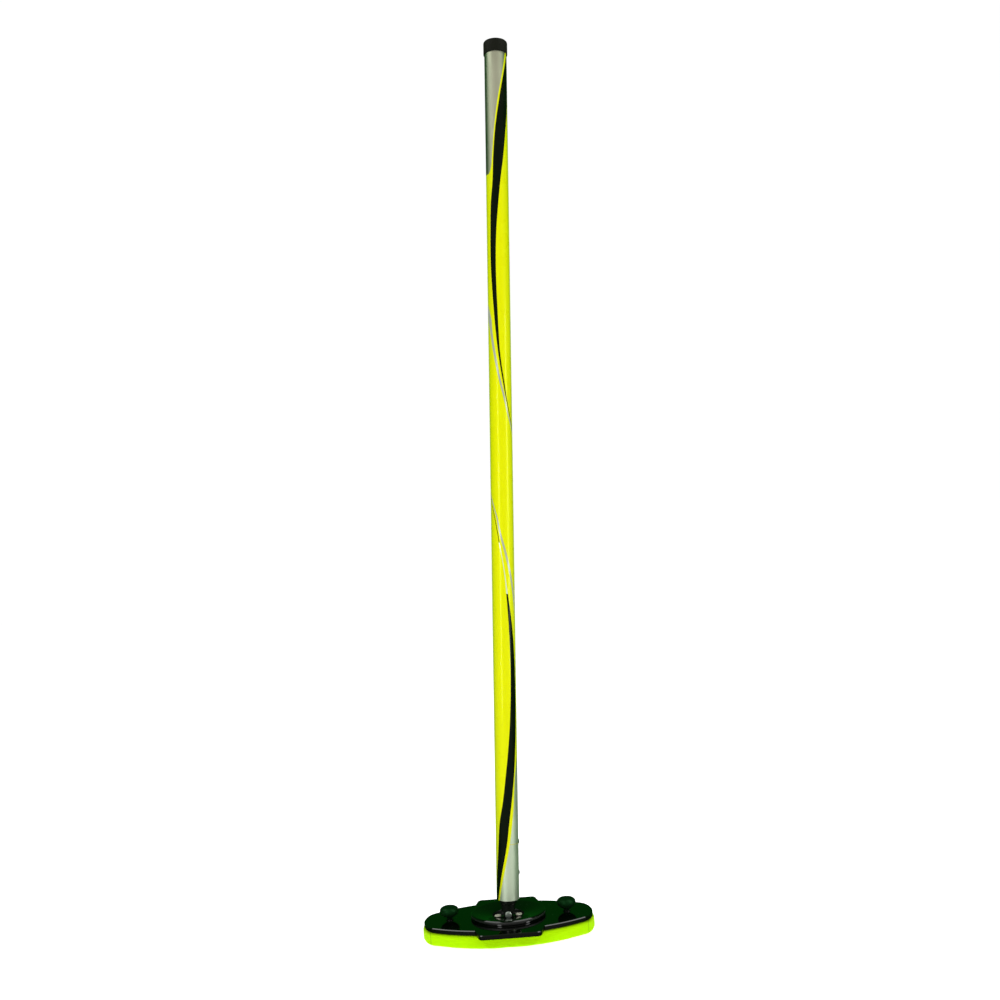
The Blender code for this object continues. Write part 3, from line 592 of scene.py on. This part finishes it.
def build_turntable():
    """The disc with its dish, bevelled rim and side groove, and the ring that it turns on."""
    low, high, radius = reach("swivel_disc", PLATE_FRAME)
    ring_low, ring_high, ring_radius = reach("bearing_ring", PLATE_FRAME)
    step = ring_high + 0.45 * MM
    rim, groove = high - 0.1 * MM, high - GROOVE_BELOW_TOP
    profile = rounded([
        (0, DISH_FLOOR, 0),
        (DISH_RADIUS, DISH_FLOOR, 0.4 * MM),
        (DISH_RADIUS, DISH_LIP, 0.5 * MM),
        (radius - 2 * DISC_BEVEL, rim, 1.2 * MM),
        (radius - DISC_BEVEL, rim, 0.3 * MM),
        (radius, high - DISC_BEVEL, 0.3 * MM),
        (radius, groove + GROOVE_HALF, 0.1 * MM),
        (radius - GROOVE_DEPTH, groove, 0.05 * MM),
        (radius, groove - GROOVE_HALF, 0.1 * MM),
        (radius, step, 0.3 * MM),
        (RACE_BORE, step, 0),
        (RACE_BORE, DISC_GAP, 0),
        (DISC_HUB_RADIUS, DISC_GAP, 0),
        (DISC_HUB_RADIUS, low, 0),
        (0, low, 0),
    ])
    disc = stands_for(turned("dished_disc", profile, PLATE_FRAME, 160), "swivel_disc")
    # Painted sheen: the disc's side faces take the lighter, rougher copy of the disc black.
    look_by_slope(disc, "disc_side_lit_copy", -0.5, 0.5)
    race = rounded([
        (RING_BORE, ring_high, 0.2 * MM),
        (ring_radius, ring_high, 0.3 * MM),
        (ring_radius, ring_low, 0.2 * MM),
        (RING_BORE, ring_low, 0.2 * MM),
    ], 3)
    stands_for(turned("bearing_race", race, PLATE_FRAME, 160, closed=True), "bearing_ring")


LUG_FOOT_THICKNESS, LUG_SCREW_X, LUG_FOOT_RADIUS = 1.7 * MM, 13.3 * MM, 5 * MM
LUG_HALF_THICKNESS = 3.3 * MM
PIN_BORE, SCREW_HOLE = 2.6 * MM, 2.3 * MM


def build_lug():
    """The hub's lower half: an eye round the tilt axis on a foot with a round pad at each end."""
    low, eye_radius, _ = reach("pivot_lug", Matrix.Translation(PIVOT))
    foot_top = low + LUG_FOOT_THICKNESS
    outline = [(LUG_SCREW_X, low), (LUG_SCREW_X, foot_top), (eye_radius, foot_top)]
    outline += arc((0, 0), eye_radius, 0, math.pi, 48)
    outline += [(-eye_radius, foot_top), (-LUG_SCREW_X, foot_top), (-LUG_SCREW_X, low)]
    across = Matrix.Translation(PIVOT) @ LYING
    ends = [Matrix.Translation(PIVOT + Vector((x, 0, 0))) for x in (-LUG_SCREW_X, LUG_SCREW_X)]
    lug = prism("lug_eye", outline, -LUG_HALF_THICKNESS, LUG_HALF_THICKNESS, across)
    for end in ends:
        shape_with(lug, "UNION", cylinder("foot_pad", LUG_FOOT_RADIUS, low, foot_top, end, 48))
    drill(lug, PIN_BORE, across)
    for end in ends:
        drill(lug, SCREW_HOLE, end, high=0.0, steps=32)
    soften(lug, 0.25 * MM, 2)
    stands_for(lug, "pivot_lug")


SCREW_HEAD_HEIGHT, SCREW_SHANK = 1.5 * MM, 2.0 * MM
RECESS_HALF_LENGTH, RECESS_HALF_WIDTH, RECESS_DEPTH = 2.2 * MM, 0.4 * MM, 0.9 * MM
RECESS_TURN = 0.3


def build_lug_screws():
    """Round-headed screws with a cross recess."""
    for side in ("left", "right"):
        node = f"lug_screw_{side}"
        low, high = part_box(node)
        at = Matrix.Translation(Vector(((low.x + high.x) / 2, (low.y + high.y) / 2, high.z)))
        bottom, top, radius = reach(node, at)
        seat = top - SCREW_HEAD_HEIGHT
        profile = rounded([
            (0, top - 0.05 * MM, 0),
            (radius, top - 0.15 * MM, 0.7 * MM),
            (radius, seat, 0.1 * MM),
            (SCREW_SHANK, seat, 0),
            (SCREW_SHANK, bottom, 0),
            (0, bottom, 0),
        ])
        screw = turned("cross_screw_" + side, profile, at, 48)
        for turn in (RECESS_TURN, RECESS_TURN + math.pi / 2):
            arm = box_outline(RECESS_HALF_LENGTH, RECESS_HALF_WIDTH)
            placing = at @ Matrix.Rotation(turn, 4, "Z")
            shape_with(screw, "DIFFERENCE", prism("recess", arm, -RECESS_DEPTH, MM, placing))
        # The screws take the pale look with the painted glint.
        stands_for(screw, node, look="pale_screw_painted_glint")


# ---------------------------------------------------------------------------- shaft


FORK_RADIUS, COLLAR_RADIUS, COLLAR_LOW = 9.2 * MM, 10.9 * MM, 13.5 * MM
FORK_SLOT_HALF, FORK_SLOT_TOP = 4.1 * MM, 9.5 * MM
EAR_FLARE = ((10.2 * MM, 5.6 * MM), (20.4 * MM, 12 * MM), (40 * MM, 12 * MM))
EAR_SWEEP = math.radians(12.5)


def build_fork():
    """The hub's upper half: a turned body narrowed to two round ears with a slot between them."""
    low, high, plug_radius = reach("shaft_connector", SHAFT_FRAME)
    profile = rounded([
        (0, high, 0),
        (plug_radius, high, MM),
        (plug_radius, TUBE_LOW + 0.3 * MM, 0.2 * MM),
        (COLLAR_RADIUS, TUBE_LOW - 0.6 * MM, 0.3 * MM),
        (COLLAR_RADIUS, COLLAR_LOW, 0.6 * MM),
        (FORK_RADIUS, COLLAR_LOW - 1.7 * MM, 0.5 * MM),
        (FORK_RADIUS, low, 0),
        (0, low, 0),
    ])
    fork = turned("hub_fork", profile, SHAFT_FRAME, 96)
    wide = EAR_FLARE[-1][0]
    flank = [*EAR_FLARE, (wide, high + MM)]
    outline = arc((0, 0), -low, -math.pi - EAR_SWEEP, EAR_SWEEP, 48)
    outline += flank + [(-x, y) for x, y in reversed(flank)]
    shape_with(fork, "INTERSECT", prism("ears", outline, -wide, wide, SHAFT_FRAME @ LYING))
    slot = prism("slot", box_outline(wide, FORK_SLOT_HALF), -wide, FORK_SLOT_TOP, SHAFT_FRAME)
    shape_with(fork, "DIFFERENCE", slot)
    drill(fork, PIN_BORE, SHAFT_FRAME @ LYING)
    soften(fork, 0.35 * MM, 3, 50)
    stands_for(fork, "shaft_connector")


PIN_HEAD_HEIGHT, PIN_SHANK = 1.9 * MM, 2.5 * MM


def build_pin():
    """The tilt pin, with a low dome for a head."""
    placing = SHAFT_FRAME @ LYING
    low, high, radius = reach("pivot_pin", placing)
    seat = high - PIN_HEAD_HEIGHT
    profile = rounded([
        (0, high, 0),
        (radius * 0.72, high - 0.15 * MM, 0.9 * MM),
        (radius, high - 1.0 * MM, 0.3 * MM),
        (radius, seat, 0.1 * MM),
        (PIN_SHANK, seat, 0),
        (PIN_SHANK, low, 0.5 * MM),
        (0, low, 0),
    ])
    stands_for(turned("domed_pin", profile, placing, 64), "pivot_pin", look="pin_steel")


TUBE_WALL, TUBE_LEVELS = 1.3 * MM, 60


def build_tube():
    """The hollow tube, in short lengths so that its shading stays even."""
    inside = TUBE_RADIUS - TUBE_WALL
    rows = [TUBE_HIGH + (TUBE_LOW - TUBE_HIGH) * i / TUBE_LEVELS for i in range(TUBE_LEVELS + 1)]
    profile = [(inside, rows[0])] + [(TUBE_RADIUS, row) for row in rows] + [(inside, rows[-1])]
    tube = turned("lacquered_tube", profile, SHAFT_FRAME, 128, closed=True)
    stands_for(tube, "shaft_tube")


RIVET_HEAD_HEIGHT, RIVET_SHANK = 1.2 * MM, 1.6 * MM


def build_rivets():
    for level in ("lower", "upper"):
        node = f"tube_rivet_{level}"
        middle = SHAFT_FRAME.inverted() @ (sum(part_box(node), Vector()) / 2)
        placing = SHAFT_FRAME @ Matrix.Translation((0, 0, middle.z)) @ TO_PLUS_X
        low, high, radius = reach(node, placing)
        seat = high - RIVET_HEAD_HEIGHT
        profile = rounded([
            (0, high, 0),
            (radius * 0.6, high - 0.12 * MM, 0.9 * MM),
            (radius, seat, 0.05 * MM),
            (RIVET_SHANK, seat, 0),
            (RIVET_SHANK, low, 0),
            (0, low, 0),
        ])
        stands_for(turned("pop_rivet_" + level, profile, placing, 48), node)


CAP_SKIRT, CAP_GAP = 12.7 * MM, 0.3 * MM


def build_cap():
    """The rubber cap: a skirt over the tube's end and a plug inside it."""
    low, high, radius = reach("end_cap", SHAFT_FRAME)
    skirt_low, ceiling = TUBE_HIGH - CAP_SKIRT, TUBE_HIGH + CAP_GAP
    inside = TUBE_RADIUS + CAP_GAP / 2
    plug = TUBE_RADIUS - TUBE_WALL - CAP_GAP
    profile = rounded([
        (0, high, 0),
        (radius, high - 0.5 * MM, 2.6 * MM),
        (radius, skirt_low, 0.5 * MM),
        (inside, skirt_low, 0.1 * MM),
        (inside, ceiling, 0),
        (plug, ceiling, 0),
        (plug, low, 0.6 * MM),
        (0, low, 0),
    ])
    stands_for(turned("rubber_cap", profile, SHAFT_FRAME, 128), "end_cap")


# ---------------------------------------------------------------------------- knobs


KNOB_CROWN, CROWN_STEPS = 6.2 * MM, 16
KNOB_STEM, KNOB_SOCKET, SOCKET_TOP = 3.4 * MM, 2.6 * MM, 10.3 * MM


def build_knobs():
    """Mushroom knobs: a domed crown over an underside that draws in to the stem."""
    for side in ("left", "right"):
        node = f"clamp_knob_{side}"
        placing = Matrix.Translation(JOINT[f"knob_turn_{side}"]["pos_m"])
        low, high, radius = reach(node, placing)
        rim = high - KNOB_CROWN
        angles = [math.pi / 2 * i / CROWN_STEPS for i in range(1, CROWN_STEPS + 1)]
        crown = [(radius * math.sin(a) ** 0.8, rim + KNOB_CROWN * math.cos(a) ** 0.9) for a in angles]
        under = rounded([
            (radius, rim, 0),
            (radius, rim - 1.8 * MM, 1.5 * MM),
            (10.2 * MM, rim - 4.6 * MM, 2 * MM),
            (7.8 * MM, rim - 6.4 * MM, MM),
            (6.2 * MM, rim - 7.4 * MM, MM),
            (4.0 * MM, rim - 8.3 * MM, 0.5 * MM),
            (KNOB_STEM, low, 0.3 * MM),
            (KNOB_SOCKET, low, 0),
            (KNOB_SOCKET, SOCKET_TOP, 0),
            (0, SOCKET_TOP, 0),
        ])
        profile = [(0, high)] + crown + [tuple(p) for p in under[1:]]
        stands_for(turned("mushroom_knob_" + side, profile, placing, 96), node)


# ------------------------------------------------------------------------------ pad

VOXEL = 3.0 * MM
START_INSET = 0.4 * MM
MOST_MOVE = 1.3 * MM
SOLE_CLEAR = 0.1 * MM
HEM_HEIGHT = 1.2 * MM
PRESSURE, STIFFNESS, SWELL_FRAMES = 4.0, 20.0, 20


def swell(pad):
    """Blows the cloth up on its foam by simulation. The foam's grip then holds the movement small."""
    start = [v.co.copy() for v in pad.data.vertices]
    held = pad.vertex_groups.new(name="held")
    held.add([v.index for v in pad.data.vertices if v.co.z > PAD_HIGH.z - HEM_HEIGHT], 1.0, "REPLACE")
    cloth = pad.modifiers.new("cloth", "CLOTH")
    settings = cloth.settings
    settings.use_pressure = True
    settings.uniform_pressure_force = PRESSURE
    settings.effector_weights.gravity = 0.0
    settings.vertex_group_mass = "held"
    settings.tension_stiffness = settings.compression_stiffness = STIFFNESS
    scene = bpy.context.scene
    for number in range(1, SWELL_FRAMES + 1):
        scene.frame_set(number)
    apply_modifiers(pad)
    scene.frame_set(1)
    for vertex, before in zip(pad.data.vertices, start):
        move = vertex.co - before
        vertex.co = before + move * (MOST_MOVE / (MOST_MOVE + move.length))
        vertex.co.z = min(max(vertex.co.z, SOLE_CLEAR), PAD_HIGH.z)


def build_pad():
    """The cloth pad, as one piece that also fills the place of the foam."""
    quarter = head_quarter(PAD_OVERHANG - START_INSET)
    pad = prism("pad_cloth", whole_outline(quarter), START_INSET, PAD_HIGH.z)
    soften(pad, 2 * MM, 3)
    remesh = pad.modifiers.new("even", "REMESH")
    remesh.mode, remesh.voxel_size = "VOXEL", VOXEL
    apply_modifiers(pad)
    swell(pad)
    rounder = pad.modifiers.new("rounder", "SUBSURF")
    rounder.levels = rounder.render_levels = 1
    apply_modifiers(pad)
    stands_for(pad, "pad_cover", "pad_foam")


# ------------------------------------------------------------------- stage and light

FRONT_CARD = (0.64, 0.65, 0.62)
FRONT_CARD_TOP = (0.40, 0.39, 0.35)
GREEN_FLAGS = (0.002, 0.085, 0.004)
FRONT_LIGHT = (0.52, 0.52, 0.52)
REAR_LIGHT = (0.14, 0.14, 0.14)
BACKDROP = (1.02, 1.02, 1.02)
FLOOR_HALF_SIZE, FLOOR_GLOW = 30, 0.85
CAMERA_PLACE = (-0.0171, -1.4691, 0.4554)
CAMERA_DEGREES = (91.46, 3.96, -1.37)
CAMERA_LENS, CAMERA_SHIFT = 41.3, (0.001, 0.045)

# Each light: name, place, the point that it faces, size, radiance, and whether it lights surfaces
# or only shows in reflections.
SOFT_BOXES = (
    ("left_bank", (-2.2, -0.5, 3.4), (0, 0, 0.1), (2.8, 2.4), 2.5, True),
    ("right_bank", (1.8, -0.5, 3.4), (0, 0, 0.1), (2.6, 2.4), 2.5, True),
    ("left_strip", (-0.75, -1.3, 0.6), (0, 0, 0.5), (0.3, 0.9), 9.0, False),
    ("right_strip", (1.25, -0.7, 0.6), (0, 0, 0.5), (0.3, 0.9), 9.0, False),
)


def build_floor():
    bm = bmesh.new()
    bmesh.ops.create_grid(bm, x_segments=1, y_segments=1, size=FLOOR_HALF_SIZE)
    floor = new_piece("studio_floor", bm, Matrix.Translation((0, 0, -FLOOR_GAP)))
    graph = Graph("pale_floor")
    graph.set(Base_Color=(0.93, 0.93, 0.93), Roughness=0.9, Specular_IOR_Level=0.0)
    graph.set(Emission_Color=(1.0, 1.0, 1.0), Emission_Strength=FLOOR_GLOW)
    floor.data.materials.append(graph.material)
    floor.visible_glossy = False


def soft_box(name, place, target, size, radiance, fills):
    """A rectangular light that looks as bright as radiance in a mirror. Not seen by the camera."""
    data = bpy.data.lights.new(name, "AREA")
    data.shape = "RECTANGLE"
    data.size, data.size_y = size
    data.energy = radiance * math.pi * size[0] * size[1]
    light = bpy.data.objects.new(name, data)
    light.location = place
    light.rotation_euler = (Vector(target) - Vector(place)).to_track_quat("-Z", "Y").to_euler()
    light.visible_camera = False
    light.visible_diffuse = fills
    bpy.context.scene.collection.objects.link(light)


def build_world():
    """White to the camera. Seen in reflections, a pale card in front and dim green flags behind."""
    world = bpy.data.worlds.new("studio")
    bpy.context.scene.world = world
    world.use_nodes = True
    tree = world.node_tree

    def mixed(factor, first, second):
        mix = tree.nodes.new("ShaderNodeMix")
        mix.data_type = "RGBA"
        tree.links.new(factor, mix.inputs["Factor"])
        for socket, value in zip((mix.inputs[6], mix.inputs[7]), (first, second)):
            if isinstance(value, tuple):
                socket.default_value = (*value, 1.0)
            else:
                tree.links.new(value, socket)
        return mix.outputs[2]

    def rising(value, start, end, interpolation="LINEAR"):
        """Goes from 0 to 1 while value goes from start to end."""
        node = tree.nodes.new("ShaderNodeMapRange")
        node.interpolation_type = interpolation
        node.inputs["From Min"].default_value = start
        node.inputs["From Max"].default_value = end
        tree.links.new(value, node.inputs["Value"])
        return node.outputs[0]

    direction = tree.nodes.new("ShaderNodeSeparateXYZ")
    tree.links.new(tree.nodes.new("ShaderNodeTexCoord").outputs["Generated"], direction.inputs[0])
    behind = rising(direction.outputs["Y"], -0.75, 0.0, "SMOOTHSTEP")
    above = rising(direction.outputs["Z"], -0.2, 0.4)
    mirrored = mixed(behind, mixed(above, FRONT_CARD, FRONT_CARD_TOP), GREEN_FLAGS)
    path = tree.nodes.new("ShaderNodeLightPath").outputs
    plain = mixed(path["Is Camera Ray"], mixed(behind, FRONT_LIGHT, REAR_LIGHT), BACKDROP)
    seen = mixed(path["Is Glossy Ray"], plain, mirrored)
    tree.links.new(seen, tree.nodes["Background"].inputs["Color"])


def build_camera():
    data = bpy.data.cameras.new("camera")
    data.lens = CAMERA_LENS
    data.shift_x, data.shift_y = CAMERA_SHIFT
    camera = bpy.data.objects.new("camera", data)
    camera.location = CAMERA_PLACE
    camera.rotation_euler = [math.radians(angle) for angle in CAMERA_DEGREES]
    bpy.context.scene.collection.objects.link(camera)
    bpy.context.scene.camera = camera


build_camera()
build_world()
for box in SOFT_BOXES:
    soft_box(*box)
build_floor()
bpy.context.scene.view_settings.view_transform = "Standard"

for node, cad in NODES.items():
    cad.data.materials.clear()
    cad.data.materials.append(LOOKS[SLOT_OF[node]])

build_plate()
build_turntable()
build_lug()
build_lug_screws()
build_fork()
build_pin()
build_tube()
build_rivets()
build_cap()
build_knobs()
build_pad()
